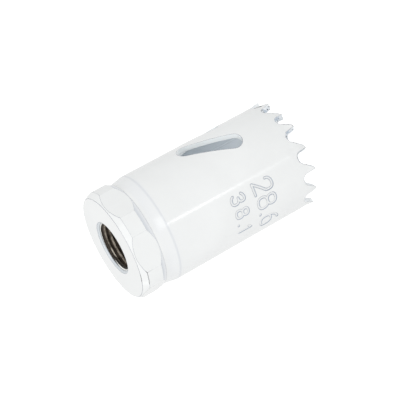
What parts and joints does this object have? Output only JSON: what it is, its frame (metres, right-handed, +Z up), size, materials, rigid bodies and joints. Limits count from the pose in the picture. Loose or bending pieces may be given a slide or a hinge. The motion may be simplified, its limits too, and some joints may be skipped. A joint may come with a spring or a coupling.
{
  "type": "hole saw",
  "caption": "Small hole saw: a white painted steel cup with set teeth and slanted slots, welded to a flat-sided end cap with a threaded arbor hole.",
  "frame": {"origin": "on the saw's axis, in the plane of the tooth tips", "axes": "+Z up the axis, from the teeth to the cap's outer face; two large spanner flats face +Y and -Y"},
  "size_m": [0.0284, 0.0282, 0.0505],
  "materials": {
    "cup_paint": "gloss white paint over steel",
    "cap_paint": "gloss white paint over steel, with a bare dark steel thread"
  },
  "bodies": {
    "root": {"toothed_cup": "cup_paint", "end_cap": "cap_paint"}
  },
  "joints": []
}
